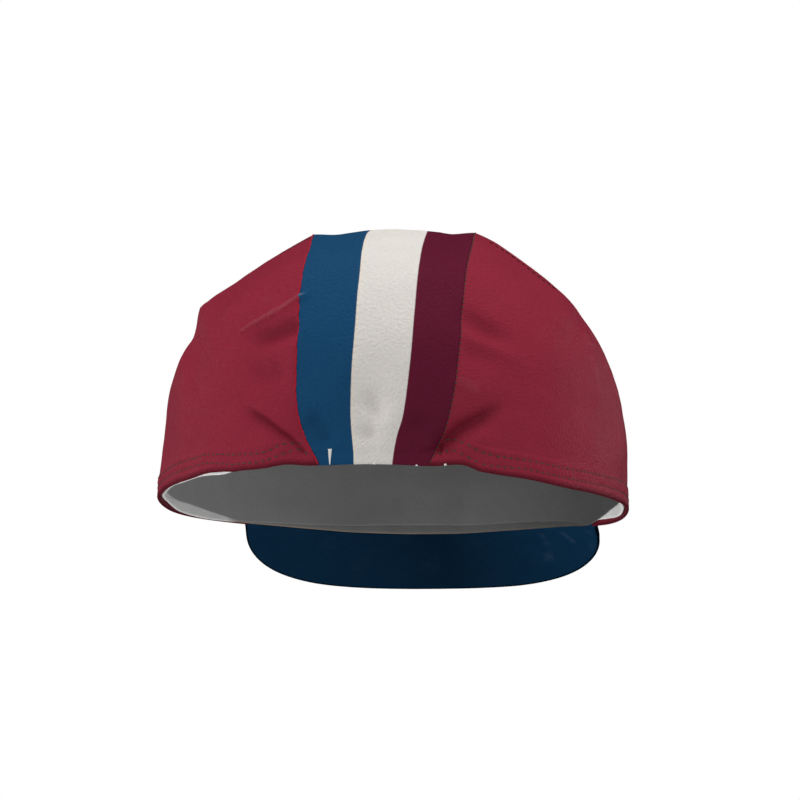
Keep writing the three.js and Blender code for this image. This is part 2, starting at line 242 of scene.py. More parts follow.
def crown(p, q):
    """The smooth crown over its plan: p across and q along, from -1 to 1, with the rim at 1."""
    distance = np.hypot(p, q)
    share = np.minimum(distance, 1.0)
    safe = np.maximum(distance, 1e-9)
    across = np.where(distance > 1e-9, p / safe, 1.0)
    along = np.where(distance > 1e-9, q / safe, 0.0)
    behind = along > 0
    quarter = (2 * across * along) ** 2
    full = 1 + corner_at(share) * quarter
    sideways = p * HALF_WIDTH / (ELASTIC_HALF_LENGTH * ELASTIC_GRIP)
    upwards = (1 - share) * CROWN_HEIGHT / ELASTIC_HEIGHT
    pull = np.where(behind, ELASTIC_PULL * np.exp(-(sideways**4) - upwards**2), 0)
    width = np.where(across > 0, reach_left(share), reach_right(share))
    length = np.where(behind, reach_back(share), reach_front(share))
    end = np.where(behind, rise_nape(share), rise_brow(share))
    wave = wave_at(share) * quarter * np.where(behind, -1, 1)
    x = HALF_WIDTH * width * across * full
    y = HALF_LENGTH * length * along * full - pull
    z = CROWN_HEIGHT * (rise_side(share) * across**2 + end * along**2 + wave)
    z = z + hem_lift(from_nape(np.arctan2(along, across))) * smoothstep(share, HEM_WAVE_FROM, 1)
    return np.stack([x, y, z], -1)


def outward(p, q):
    """The smooth crown's outward direction."""
    inside = np.minimum(1, (1 - 2 * PLAN_STEP) / np.maximum(np.hypot(p, q), PLAN_STEP))
    x, y = p * inside, q * inside
    across = crown(x + PLAN_STEP, y) - crown(x - PLAN_STEP, y)
    along = crown(x, y + PLAN_STEP) - crown(x, y - PLAN_STEP)
    return unit(np.cross(across, along))


def last_place(holds, furthest, wanted):
    """The furthest places for which something holds, one for each value wanted."""
    low, high = np.zeros_like(wanted), np.full_like(wanted, furthest)
    for _ in range(HALVINGS):
        middle = (low + high) / 2
        held = holds(middle)
        low, high = np.where(held, middle, low), np.where(held, high, middle)
    return low


def inward_at(angle, height):
    """How far inside the rim, as a share, the crown is the given height above the rim."""
    across, along = np.cos(angle), np.sin(angle)
    wanted = crown(across, along)[..., 2] + height

    def below(share):
        return crown((1 - share) * across, (1 - share) * along)[..., 2] <= wanted

    return last_place(below, FURTHEST_IN, wanted)


def hem_share_exactly(angle):
    turn = from_nape(angle)
    left, right = HEM_OVER_PEAK["left"], -HEM_OVER_PEAK["right"]
    over = smoothstep(turn, left, left + HEM_STEP) + smoothstep(-turn, right, right + HEM_STEP)
    return 1 - inward_at(angle, PEAK_STACK * over + hem_rise(turn))


HEM_ANGLES = np.linspace(-math.pi, math.pi, HEM_SAMPLES)
HEM_SHARES = hem_share_exactly(HEM_ANGLES)


def hem_share(angle):
    """How far out the hem's edge lies, as a share of the rim."""
    return np.interp(np.arctan2(np.sin(angle), np.cos(angle)), HEM_ANGLES, HEM_SHARES)


def hem_at(p, end):
    """Where the hem lies at a given p, towards the nape (end 1) or the brow (end -1)."""
    q = end * np.sqrt(1 - p * p)
    for _ in range(HEM_ROUNDS):
        q = end * np.sqrt(hem_share(np.arctan2(q, p)) ** 2 - p * p)
    return q


def seam_line(side, column, beside):
    """The edge of a piece along a seam, some millimetres beside the seam, as a curve of p by station."""
    wanted = STRIP_HALF_WIDTH * column + beside
    end = np.where(SEAMS[0] < 0, -1, 1)

    def narrow(p):
        return np.abs(crown(side * p, np.abs(SEAMS[0]) * hem_at(side * p, end))[..., 0]) < wanted

    return curve(SEAMS[0], side * last_place(narrow, FURTHEST_SEAM, wanted))


left_strip, left_panel = (seam_line(1, SEAMS[1], beside) for beside in (-SEAM_GAP / 2, SEAM_GAP / 2))
right_strip, right_panel = (seam_line(-1, SEAMS[2], beside) for beside in (-SEAM_GAP / 2, SEAM_GAP / 2))

# FOLDS
# Broad forms: from one point of the plan to another (x of HALF_WIDTH, y of HALF_LENGTH), width as a share of
# HALF_WIDTH, rise in millimetres
FORMS = (
    ("left shoulder", 0.47, -0.15, 0.49, 0.32, 0.075, 3.1),
    ("left shoulder dent", 0.61, -0.1, 0.63, 0.3, 0.08, -1.55),
    ("right shoulder", -0.64, -0.15, -0.62, 0.4, 0.1, 1.1),
    ("right side fold", -0.8, 0.3, -0.9, 0.36, 0.07, 0.95),
    ("nape dimple", -0.02, 0.82, 0.03, 0.86, 0.06, -0.9),
)
# Folds and creases along lines of the plan: widths to the line's left and right and rise in millimetres,
# shares of the line over which its ends fade, how rounded the crest is, and the line's points
FOLDS = (
    (
        "left crease", 0.7, 0.5, 1.4, 0.15, 0.1, 1.05, (0.41, 0.612), (0.392, 0.616), (0.334, 0.635),
        (0.27, 0.651), (0.2, 0.655), (0.168, 0.657),
    ),
    (
        "left hollow", 2.6, 3.8, -2.3, 0.5, 0.12, 2, (0.4, 0.645), (0.362, 0.654), (0.29, 0.686),
        (0.21, 0.705),
    ),
    ("left band", 3.0, 3.5, 0.6, 0.3, 0.3, 2, (0.46, 0.47), (0.425, 0.511), (0.323, 0.59), (0.226, 0.631)),
    (
        "left band hollow", 2.6, 2.6, -0.45, 0.4, 0.4, 2, (0.444, 0.5), (0.372, 0.56), (0.32, 0.58),
        (0.251, 0.6),
    ),
    (
        "left middle hollow", 4.5, 4.5, -1.3, 0.5, 0.3, 2, (0.437, 0.69), (0.389, 0.72), (0.329, 0.752),
        (0.25, 0.775),
    ),
    (
        "left gather", 1.1, 2.6, -1.9, 0.35, 0.1, 1.3, (0.46, 0.725), (0.425, 0.772), (0.38, 0.818),
        (0.34, 0.858), (0.31, 0.887), (0.282, 0.914), (0.25, 0.943), (0.235, 0.955),
    ),
    (
        "left gather line", 0.5, 0.5, 0.9, 0.25, 0.3, 1.3, (0.425, 0.765), (0.378, 0.81), (0.345, 0.842),
        (0.315, 0.872), (0.28, 0.905),
    ),
    (
        "left gather lip", 2.5, 3.5, 0.55, 0.4, 0.2, 2, (0.42, 0.85), (0.37, 0.87), (0.31, 0.91),
        (0.27, 0.955),
    ),
    ("left side band", 6, 6, 0.5, 0.4, 0.4, 2, (0.6, 0.4), (0.65, 0.517), (0.733, 0.573), (0.8, 0.56)),
    (
        "right hollow", 2.8, 3.6, -1.7, 0.2, 0.55, 2, (-0.2, 0.683), (-0.226, 0.68), (-0.265, 0.677),
        (-0.307, 0.671), (-0.349, 0.662), (-0.4, 0.648),
    ),
    (
        "right ridge", 1.6, 2.4, 0.6, 0.2, 0.4, 1.6, (-0.21, 0.728), (-0.238, 0.724), (-0.303, 0.709),
        (-0.372, 0.683), (-0.439, 0.652),
    ),
    (
        "right second hollow", 3, 3.4, -1.0, 0.3, 0.5, 2, (-0.22, 0.75), (-0.25, 0.744), (-0.306, 0.729),
        (-0.38, 0.7),
    ),
    (
        "right second ridge", 4, 4, 0.6, 0.2, 0.5, 2, (-0.215, 0.8), (-0.253, 0.8), (-0.312, 0.793),
        (-0.374, 0.768),
    ),
    (
        "right gather", 3.2, 2.4, -3.1, 0.45, 0.1, 1.4, (-0.43, 0.75), (-0.41, 0.772), (-0.37, 0.806),
        (-0.335, 0.839), (-0.3, 0.868), (-0.272, 0.891), (-0.25, 0.913), (-0.225, 0.938), (-0.212, 0.954),
    ),
    (
        "right gather lip", 2.6, 2.6, 0.6, 0.4, 0.2, 2, (-0.41, 0.82), (-0.36, 0.862), (-0.3, 0.91),
        (-0.26, 0.945),
    ),
    (
        "right side band", 5, 5, 0.5, 0.2, 0.4, 2, (-0.5, 0.36), (-0.58, 0.391), (-0.662, 0.426),
        (-0.76, 0.455),
    ),
    (
        "white dimple", 3.5, 3.5, -2.1, 0.45, 0.45, 2, (0.045, 0.855), (0.02, 0.878), (0.0, 0.9),
        (-0.025, 0.93),
    ),
    ("white low dimple", 2.6, 2.6, -1.4, 0.4, 0.4, 2, (-0.01, 0.925), (0.02, 0.94), (0.06, 0.95)),
    ("maroon low hollow", 3.0, 3.0, -1.0, 0.4, 0.4, 2, (-0.16, 0.885), (-0.135, 0.915), (-0.11, 0.94)),
    ("white low ridge", 3.0, 3.0, 0.4, 0.4, 0.3, 2, (-0.031, 0.879), (-0.053, 0.933), (-0.013, 0.97)),
    (
        "blue low hollow", 3.0, 3.0, -1.5, 0.3, 0.3, 2, (0.235, 0.872), (0.205, 0.895), (0.172, 0.929),
        (0.151, 0.953),
    ),
    (
        "maroon pinch", 1.4, 1.4, -3.0, 0.1, 0.6, 1.4, (-0.235, 0.944), (-0.21, 0.947), (-0.181, 0.955),
        (-0.15, 0.955),
    ),
)
# How far the crown stands in or out where it turns from the back to the top: p, millimetres
TURN_LIFTS = columns(
    (-1.0, 0.0), (-0.88, 0.2), (-0.84, 0.4), (-0.8, 0.0), (-0.77, -0.4), (-0.71, -0.8), (-0.65, -1.3),
    (-0.61, -1.2), (-0.55, -0.9), (-0.51, -0.7), (-0.48, -0.1), (-0.44, 0.2), (-0.4, -0.25), (-0.33, -0.25),
    (-0.26, 0.25), (-0.22, 0.65), (-0.18, 0.35), (-0.142, -0.3), (-0.11, 0.2), (-0.02, 0.65), (0.05, 0.35),
    (0.1, -0.35), (0.14, -0.8), (0.18, -0.4), (0.26, -0.35), (0.31, -0.55), (0.37, -0.8), (0.41, -1.2),
    (0.45, -1.45), (0.475, -1.5), (0.495, -0.9), (0.515, -1.5), (0.54, -2.0), (0.57, -1.5), (0.6, 0.2),
    (0.625, 1.0), (0.665, 1.0), (0.73, 0.1), (0.79, -0.6), (0.84, -0.6), (1.0, 0.0),
)
TURN_FROM, TURN_FULL, TURN_TO, TURN_END = -0.3, 0.05, 0.4, 0.62
# Heights above the hem's edge of its two stitch rows: angle, lower, upper
HEM_ROWS = columns(
    (-180, 3.1, 6.3), (-100, 3.1, 6.3), (-72, 3.4, 6.9), (-56, 3.1, 6.2), (-44, 2.9, 5.8), (-32, 2.8, 5.4),
    (-24, 2.3, 5.4), (-18.5, 2.9, 6.3), (-15.8, 4.3, 7.0), (-13.7, 3.6, 6.5), (14.8, 3.6, 6.6),
    (16.3, 4.5, 6.1), (19.2, 3.4, 6.2), (24.7, 2.1, 4.6), (33, 2.2, 5.0), (46, 3.3, 5.8), (63, 3.2, 6.0),
    (80, 3.2, 6.3), (180, 3.1, 6.3),
)
turn_lift = curve(*TURN_LIFTS)
HEM_STITCHES = curves(HEM_ROWS)
HEM_BAND = 7.6
HEM_BAND_EDGE = 0.9
HEM_BAND_RISE = 0.3
TURNED_HEM = 7.0
PAST_HEM = 20.0
STITCH_DENT = 0.16
STITCH_DENT_WIDTH = 0.5
PUCKER = 0.12
PUCKER_HEIGHT = 4.7
PUCKER_WIDTH = 1.3
# The share of a fold that is left where the hem is sewn
SEWN_FOLDS = 0.25


def distance_in_plan(p, q, x1, y1, x2, y2):
    dx, dy = x2 - x1, y2 - y1
    t = np.clip(((p - x1) * dx + (q - y1) * dy) / (dx * dx + dy * dy), 0, 1)
    return np.hypot(p - x1 - t * dx, q - y1 - t * dy)


def beside_line(points, normals, line):
    """Each point's distance from a line in space, which side of it that is, and how far along it lies."""
    starts, steps = line[:-1], line[1:] - line[:-1]
    lengths = np.linalg.norm(steps, axis=-1)
    passed = np.concatenate([[0], np.cumsum(lengths)])
    best = np.full(points.shape[:-1], np.inf)
    side, along = np.zeros_like(best), np.zeros_like(best)
    for start, step, length, before in zip(starts, steps, lengths, passed):
        away = points - start
        t = np.clip((away @ step) / length**2, 0, 1)
        offset = away - t[..., None] * step
        distance = np.linalg.norm(offset, axis=-1)
        nearer = distance < best
        best = np.where(nearer, distance, best)
        left = np.einsum("...k,...k->...", np.cross(normals, step), offset)
        side = np.where(nearer, left, side)
        along = np.where(nearer, (before + t * length) / passed[-1], along)
    return best, side, along


def smooth_places(places, count):
    """Places of the plan along a smooth line through the given ones."""
    places = np.array(places)
    at = np.concatenate([[0], np.cumsum(np.hypot(*np.diff(places, axis=0).T))])
    t = np.linspace(0, at[-1], count)
    return curve(at, places[:, 0])(t), curve(at, places[:, 1])(t)


def ripple(points):
    """Slight unevenness of the cloth."""
    x, y, z = np.moveaxis(points, -1, 0)
    broad = np.sin(0.21 * x + 0.13 * z + 1.3) * np.sin(0.17 * y - 0.19 * z + 0.4)
    fine = np.sin(0.47 * x - 0.39 * z + 2.1) * np.sin(0.43 * y + 0.31 * z) * np.sin(0.11 * (x + y))
    return 0.14 * broad + 0.07 * fine


def hem_relief(from_hem, angle):
    """The turned hem's thickness, the dents of its stitch rows and the puckers between them."""
    relief = HEM_BAND_RISE * (1 - smoothstep(from_hem, HEM_BAND - HEM_BAND_EDGE, HEM_BAND))
    for row in HEM_STITCHES:
        near = (from_hem - row(from_nape(angle))) / STITCH_DENT_WIDTH
        relief = relief - STITCH_DENT * np.exp(-(near**2))
    between = np.exp(-(((from_hem - PUCKER_HEIGHT) / PUCKER_WIDTH) ** 2))
    return relief + between * (np.sin(47 * angle) + 0.7 * np.sin(83 * angle + 1.1)) * PUCKER


def dressed(p, q, hemmed=True):
    """The crown's outer face with its folds, its direction, the folds' own height, and the height above the
    hem's edge. Without a hem it is the cloth's run behind the hem."""
    points, normals = crown(p, q), outward(p, q)
    angle = np.arctan2(q, p)
    share = hem_share(angle)
    above_hem = points[..., 2] - crown(share * np.cos(angle), share * np.sin(angle))[..., 2]
    from_hem = above_hem if hemmed else np.full(p.shape, PAST_HEM)
    station = np.clip(q / np.sqrt(np.maximum(1 - p * p, PLAN_STEP)), -1, 1)
    seam = np.where(p > 0, left_panel(station), right_panel(station))
    beside = np.abs(points[..., 0] - crown(seam, q)[..., 0])
    ridge = SEAM_RIDGE * ridge_at(station) * np.maximum(1 - beside / SEAM_REACH, 0) ** 2
    above = (1 - np.hypot(p, q)) * CROWN_HEIGHT / TAPE_HEIGHT
    broad = turn_lift(p) * smoothstep(q, TURN_FROM, TURN_FULL) * (1 - smoothstep(q, TURN_TO, TURN_END))
    for _, *ends, width, rise in FORMS:
        broad = broad + rise * np.exp(-((distance_in_plan(p, q, *ends) / width) ** 2))
    folds = ripple(points)
    for _, left, right, rise, start, stop, roundness, *places in FOLDS:
        distance, side, along = beside_line(points, normals, crown(*smooth_places(places, 24)))
        width = np.where(side > 0, left, right)
        fade = smoothstep(along, 0, start) * smoothstep(1 - along, 0, stop)
        folds = folds + rise * fade * np.exp(-((distance / width) ** roundness))
    loose = SEWN_FOLDS + (1 - SEWN_FOLDS) * smoothstep(from_hem, 1.0, HEM_BAND)
    height = ridge + broad * smoothstep(above, 0.2, 1.4) + folds * loose + hem_relief(from_hem, angle)
    return points + normals * height[..., None], normals, folds, above_hem


# PIECES
SAMPLES = np.linspace(0, 1, 81)
# Distances of a cloth's rows from its rolled edge and from its stitched hem
ROLLED_EDGE = np.array([0, 0.03, 0.12, 0.28, 0.5, 0.8, 1.3])
STITCHED_EDGE = np.array(
    [0, 0.03, 0.12, 0.28, 0.5, 0.9, 1.5, 2.1, 2.6, 3.1, 3.6, 4.2, 4.8, 5.4, 5.9, 6.3, 6.8, 7.4, 8.0]
)
# Points this near in metres become one
WELD = 2e-6
PANEL_COLUMNS = {"back": 150, "front": 84}
PANEL_ROWS = 62
STRIP_ROWS = 250
STRIPE_COLUMNS = 15
# How far a side panel's columns reach past the seam's end at the hem, as an angle of the plan
SEAM_END = 0.012


def roll(distance, half):
    """How far a cloth's face curls in towards its middle near an edge; half is half its thickness."""
    inside = np.clip(1 - distance / half, 0, 1)
    return half * (1 - np.sqrt(np.maximum(1 - inside**2, 0)))


def two_faces(points, normals, from_edge, thickness=CLOTH, depth=0.0):
    """A cloth's outer and inner face, curled together at its edges; depth is how far in it lies."""
    curl = roll(from_edge, thickness / 2)
    outer = points - normals * (depth + curl)[..., None]
    return outer, points - normals * (depth + thickness - curl)[..., None]


def make_object(name, mesh):
    piece = linked(name, mesh)
    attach(piece, "root")
    return piece


def closed_sheet(name, outer, inner, marks, weave, materials, turned=None, round_it=False):
    """A closed cloth between two grids of points in millimetres, with two maps. turned marks where the outer
    cloth goes on round the edge and covers the inside too. round_it is for a dome, whose columns meet at its
    top."""
    count = outer.shape[0] * outer.shape[1]
    index = np.arange(count).reshape(outer.shape[:2])
    front = np.stack((index[:-1, :-1], index[1:, :-1], index[1:, 1:], index[:-1, 1:]), -1).reshape(-1, 4)
    lines = (index[:, 0][::-1], index[:, -1], index[0], index[-1][::-1])
    rims = [
        np.stack([line[:-1], line[1:], line[1:] + count, line[:-1] + count], -1)
        for line in (lines[:1] if round_it else lines)
    ]
    rims = np.concatenate(rims)
    a, b, c = (outer.reshape(-1, 3)[front[:, k]] for k in (0, 1, 2))
    through = a - inner.reshape(-1, 3)[front[:, 0]]
    if np.einsum("ij,ij->", np.cross(b - a, c - a), through) < 0:
        front, rims = front[:, ::-1], rims[:, ::-1]
    faces = np.concatenate([front, front[:, ::-1] + count, rims])
    points = np.concatenate([outer.reshape(-1, 3), inner.reshape(-1, 3)]) * MM
    mesh = bpy.data.meshes.new(name)
    mesh.from_pydata(points.tolist(), [], faces.tolist())
    corners = np.zeros(len(mesh.loops), dtype=np.int32)
    mesh.loops.foreach_get("vertex_index", corners)
    # The second map carries the stripes' print and the masks for painted highlights and painted shade
    for map_name, values in (("weave", weave), ("print_and_shade", marks)):
        flat = np.concatenate([values.reshape(-1, 2)] * 2)
        layer = mesh.uv_layers.new(name=map_name)
        layer.data.foreach_set("uv", flat[corners].ravel().astype(np.float32))
    side = np.zeros(len(faces), dtype=np.int32)
    side[len(front) : 2 * len(front)] = 1
    if turned is not None:
        covered = turned.reshape(-1)[front].all(axis=1)
        side[len(front) : 2 * len(front)][covered] = 0
    for material in materials:
        mesh.materials.append(material)
    mesh.polygons.foreach_set("material_index", side)
    welded = bmesh.new()
    welded.from_mesh(mesh)
    bmesh.ops.remove_doubles(welded, verts=welded.verts, dist=WELD)
    bmesh.ops.dissolve_degenerate(welded, dist=WELD / 2, edges=welded.edges)
    for face in welded.faces:
        face.smooth = True
    welded.to_mesh(mesh)
    welded.free()
    return make_object(name, mesh)


def edge_spaced(length, count, last_edge):
    """Distances along a column, close together near its rolled start and its last edge."""
    room = np.minimum(1, length / (2.2 * (ROLLED_EDGE[-1] + last_edge[-1])))[..., None]
    start, end = ROLLED_EDGE * room, length[..., None] - last_edge[::-1] * room
    share = np.linspace(0, 1, count + 2)[1:-1]
    middle = start[..., -1:] + (end[..., :1] - start[..., -1:]) * share
    return np.concatenate([start, middle, end], -1)


def travelled(points):
    """Arc length along the last axis but one."""
    steps = np.linalg.norm(np.diff(points, axis=-2), axis=-1)
    return np.concatenate([np.zeros_like(steps[..., :1]), np.cumsum(steps, -1)], -1)


def side_panel(side):
    """Plan places of a side panel's grid, from the seam to the hem, and their distances from both."""
    seam_p = left_panel if side > 0 else right_panel
    seam_ends = {end: seam_p(end) for end in (-1, 1)}
    back, front = (math.atan2(hem_at(seam_ends[end], end), abs(seam_ends[end])) for end in (1, -1))
    behind = np.linspace(back - SEAM_END, 0, PANEL_COLUMNS["back"])
    before = np.linspace(0, front + SEAM_END, PANEL_COLUMNS["front"])
    turns = np.concatenate([behind, before[1:]])
    angle = turns if side > 0 else math.pi - turns
    hem_p, hem_q = hem_share(angle) * np.cos(angle), hem_share(angle) * np.sin(angle)
    end = np.where(hem_q > 0, 1, -1)
    reach = np.where(hem_q > 0, hem_at(seam_ends[1], 1), hem_at(seam_ends[-1], -1))
    station = np.clip(hem_q / np.abs(reach), -1, 1)
    start_p = seam_p(station)
    start_q = np.abs(station) * hem_at(start_p, end)

    def place(t):
        return [a[:, None] + (b - a)[:, None] * t for a, b in ((start_p, hem_p), (start_q, hem_q))]

    arcs = travelled(crown(*place(SAMPLES[None, :])))
    wanted = edge_spaced(arcs[:, -1], PANEL_ROWS, STITCHED_EDGE)
    t = np.stack([np.interp(row, arc, SAMPLES) for row, arc in zip(wanted, arcs)])
    along = travelled(crown(hem_p, hem_q)[None])[0]
    return *place(t), wanted, arcs[:, -1:] - wanted, along


def panel_piece(side, name, node, materials):
    p, q, from_seam, from_hem, along = side_panel(side)
    face, normals, folds, above_hem = dressed(p, q)
    outer, inner = two_faces(face, normals, np.minimum(from_seam, from_hem))
    weave = np.stack([np.broadcast_to(along[:, None], p.shape), from_hem], -1) * MM
    # Fold heights go in the map for painted highlights on crests and painted shade in hollows; the height
    # above the hem is for painted shade along the hem's edge
    marks = np.stack([folds, above_hem], -1)
    piece = closed_sheet(name, outer, inner, marks, weave, materials, above_hem < TURNED_HEM)
    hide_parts(node)
    grid = {"face": face, "normals": normals, "above_hem": above_hem, "from_seam": from_seam}
    grid["from_nape"] = from_nape(np.arctan2(q, p))
    return piece, grid


# Where the stripes' edges lie across the middle panel, as shares from its right edge: at, maroon's, blue's
STRIPES = columns(
    (-1.0, 0.32, 0.67), (0.0, 0.285, 0.65), (0.33, 0.274, 0.63), (0.37, 0.275, 0.634), (0.41, 0.28, 0.652),
    (0.455, 0.287, 0.661), (0.5, 0.291, 0.665), (0.55, 0.288, 0.659), (0.595, 0.283, 0.646),
    (0.635, 0.281, 0.638), (0.69, 0.282, 0.638), (0.742, 0.286, 0.639), (0.8, 0.287, 0.645),
    (0.865, 0.291, 0.646), (0.9, 0.299, 0.651), (0.917, 0.308, 0.653), (0.93, 0.319, 0.655),
    (0.945, 0.329, 0.656), (0.97, 0.332, 0.661), (1.0, 0.326, 0.68),
)


def strip_grid():
    """Plan places of the middle panel's grid, across and then along, its distances from seam and hem, and
    where each place lies among the stripes, across and along."""
    centre = np.linspace(-1, 1, 401)
    q = np.abs(centre) * hem_at(np.zeros_like(centre), np.where(centre > 0, 1, -1))
    arc = travelled(crown(np.zeros_like(q), q)[None])[0]
    to_nape = edge_spaced(arc[-1:], STRIP_ROWS, STITCHED_EDGE)[0]
    at_brow = (arc[-1] - to_nape[::-1])[: len(STITCHED_EDGE) + 1]
    wanted = np.concatenate([at_brow, to_nape[to_nape > at_brow[-1] + 0.5]])
    station = np.interp(wanted, arc, centre)
    left, right = left_strip(station), right_strip(station)
    width = np.abs(crown(left, station * 0.97)[:, 0] - crown(right, station * 0.97)[:, 0])
    maroon, blue = (edge(station) for edge in curves(STRIPES))
    near = ROLLED_EDGE[:, None] / width
    share = np.linspace(0, 1, STRIPE_COLUMNS)[1:, None]
    across = [near, near[-1] + (maroon - near[-1]) * share, maroon + (blue - maroon) * share]
    across = np.concatenate([*across, blue + (1 - near[-1] - blue) * share[:-1], 1 - near[::-1]])
    first, second = len(near) + len(share), len(near) + 2 * len(share)
    in_blue = (across[second:] - blue) / (1 - blue)
    stripe = np.concatenate([across[:first] / maroon, 1 + share * np.ones_like(width), 2 + in_blue])
    p = right + (left - right) * across
    q = np.abs(station) * hem_at(p, np.where(station > 0, 1, -1))
    from_seam = np.minimum(across, 1 - across) * width
    along = wanted * np.ones_like(p)
    from_edge = np.minimum(from_seam, np.minimum(along, arc[-1] - along))
    return p, q, from_edge, stripe, np.stack([across * width, along], -1)


def strip_piece(name, node, materials):
    p, q, from_edge, stripe, weave = strip_grid()
    face, normals, folds, above_hem = dressed(p, q)
    outer, inner = two_faces(face, normals, from_edge)
    # Fold heights go in the map for painted highlights on the folds' crests
    marks, turned = np.stack([stripe, folds], -1), above_hem < TURNED_HEM
    piece = closed_sheet(name, outer, inner, marks, weave * MM, materials, turned)
    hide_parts(node)
    return piece


def in_from_rim(turn, inward, hemmed=False):
    """The face with its folds and its direction, at an angle and as a share inside the rim."""
    return dressed((1 - inward) * np.cos(turn), (1 - inward) * np.sin(turn), hemmed)[:2]


def band_piece(name, node, angles, bottom, top, thickness, material, slot):
    """A band inside the rim. bottom and top are heights above the rim."""
    bottom, top = (np.broadcast_to(height, angles.shape)[:, None] for height in (bottom, top))
    height = bottom + (top - bottom) * (1 - np.cos(np.linspace(0, 1, 17) * math.pi)) / 2
    turn = np.broadcast_to(angles[:, None], height.shape)
    points, normals = in_from_rim(turn, inward_at(turn, height))
    from_edge = np.minimum(height - bottom, top - height)
    outer, inner = two_faces(points, normals, from_edge, thickness, CLOTH + LINING_GAP)
    along = travelled(points[:, height.shape[1] // 2][None])[0]
    weave = np.stack([np.broadcast_to(along[:, None], height.shape), height], -1) * MM
    # The angle and height go in the map; from them the tape's material paints shade round the front and along
    # its lower edge
    marks = np.stack([np.degrees(turn - NAPE), height], -1)
    piece = closed_sheet(name, inner, outer, marks, weave, (material,) * 2)
    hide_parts(node)
    return piece


def lining_piece(name, edge, material):
    """The cloth that lines the crown, from its lower edge's heights above the rim to the top."""
    turn = NAPE + np.linspace(-math.pi, math.pi, 361)[:, None]
    low = inward_at(turn, edge(from_nape(turn)))
    share = np.concatenate([[0, 0.001, 0.003, 0.006, 0.012], np.linspace(0.02, 1, 60)])
    inward = low + (1 - low) * share
    points, normals = in_from_rim(turn, inward)
    shallow = CLOTH + LINING_CLEAR
    deep = shallow + LINING_GAP + ELASTIC_THICKNESS
    depth = deep + (shallow - deep) * smoothstep(inward * CROWN_HEIGHT, ELASTIC_HEIGHT, 2 * ELASTIC_HEIGHT)
    risen = travelled(points)
    outer, inner = two_faces(points, normals, risen, LINING_THICKNESS, depth)
    from_top = risen[:, -1:] - risen
    weave = np.stack([from_top * np.cos(turn), from_top * np.sin(turn)], -1) * MM
    marks = np.stack([risen, depth], -1)
    return closed_sheet(name, inner, outer, marks, weave, (material,) * 2, round_it=True)


# Peak
PEAK_COLUMNS = 181
PEAK_ROWS = 46
# How wide the peak is taken to be to each side of its middle, for its folds and for its weave
FOLD_SPAN = 70
WEAVE_SPAN = 78
# The shares of the crown's ripple and of all its relief that a cover shows
PEAK_RIPPLE = 0.4
PEAK_RELIEF = 0.6
# Folds in the covers from one place to another, across from -1 to 1 and out as a share of PEAK_LENGTH, with
# width and rise in millimetres
PEAK_FOLDS = (
    ((-0.515, 0.03), (-0.46, 0.3), 1.3, 0.4),
    ((-0.45, 0.31), (-0.4, 0.6), 1.2, 0.3),
    ((-0.49, 0.05), (-0.42, 0.45), 1.0, -0.3),
    ((-0.63, 0.05), (-0.6, 0.3), 1.2, 0.5),
    ((-0.66, 0.1), (-0.6, 0.42), 0.9, -0.55),
    ((-0.66, 0.36), (-0.61, 0.62), 1.1, 0.45),
    ((-0.71, 0.28), (-0.65, 0.5), 1.0, 0.35),
    ((-0.78, 0.1), (-0.75, 0.34), 1.8, 0.35),
    ((0.6, 0.1), (0.66, 0.5), 3.0, -0.3),
)


def peak_reach(place):
    """How far the peak's edge is from its root; place runs from -1 at the right to 1."""
    squareness = np.where(place > 0, PEAK_SQUARENESS["left"], PEAK_SQUARENESS["right"])
    roundness = np.where(place > 0, PEAK_ROUNDNESS["left"], PEAK_ROUNDNESS["right"])
    return PEAK_LENGTH * np.maximum(1 - np.abs(place) ** squareness, 0) ** roundness


def peak_inset(place):
    """How far the covers run in under the hem; their ends only reach its outside."""
    return CLOTH * (1 - PEAK_END_SHARE * smoothstep(np.abs(place), *PEAK_ENDS))


def peak_surface(place, v, level):
    """Points of the peak at a height above its underside, v of the way from root to edge, and the shares of
    PEAK_LENGTH at which they lie."""
    angle = PEAK_MIDDLE + PEAK_HALF_ANGLE * place
    rim = crown(np.cos(angle), np.sin(angle))
    wall = 1 - inward_at(angle, level)
    p, q = wall * np.cos(angle), wall * np.sin(angle)
    inset = peak_inset(place)
    root = crown(p, q) - outward(p, q) * inset[..., None]
    root[..., 2] = rim[..., 2]
    away = unit(rim * np.array([1.0, 1.0, 0.0]))
    reach = peak_reach(place)
    out = v * (reach + inset)
    share = v * reach / PEAK_LENGTH
    fall = PEAK_SLOPE * out + PEAK_TILT * place * share
    ends = PEAK_END_RISE * smoothstep(np.abs(place), *PEAK_ENDS)
    points = root + away * out[..., None]
    points[..., 2] += level + PEAK_ARCH * 4 * share * (1 - share) - fall + ends
    return points, share


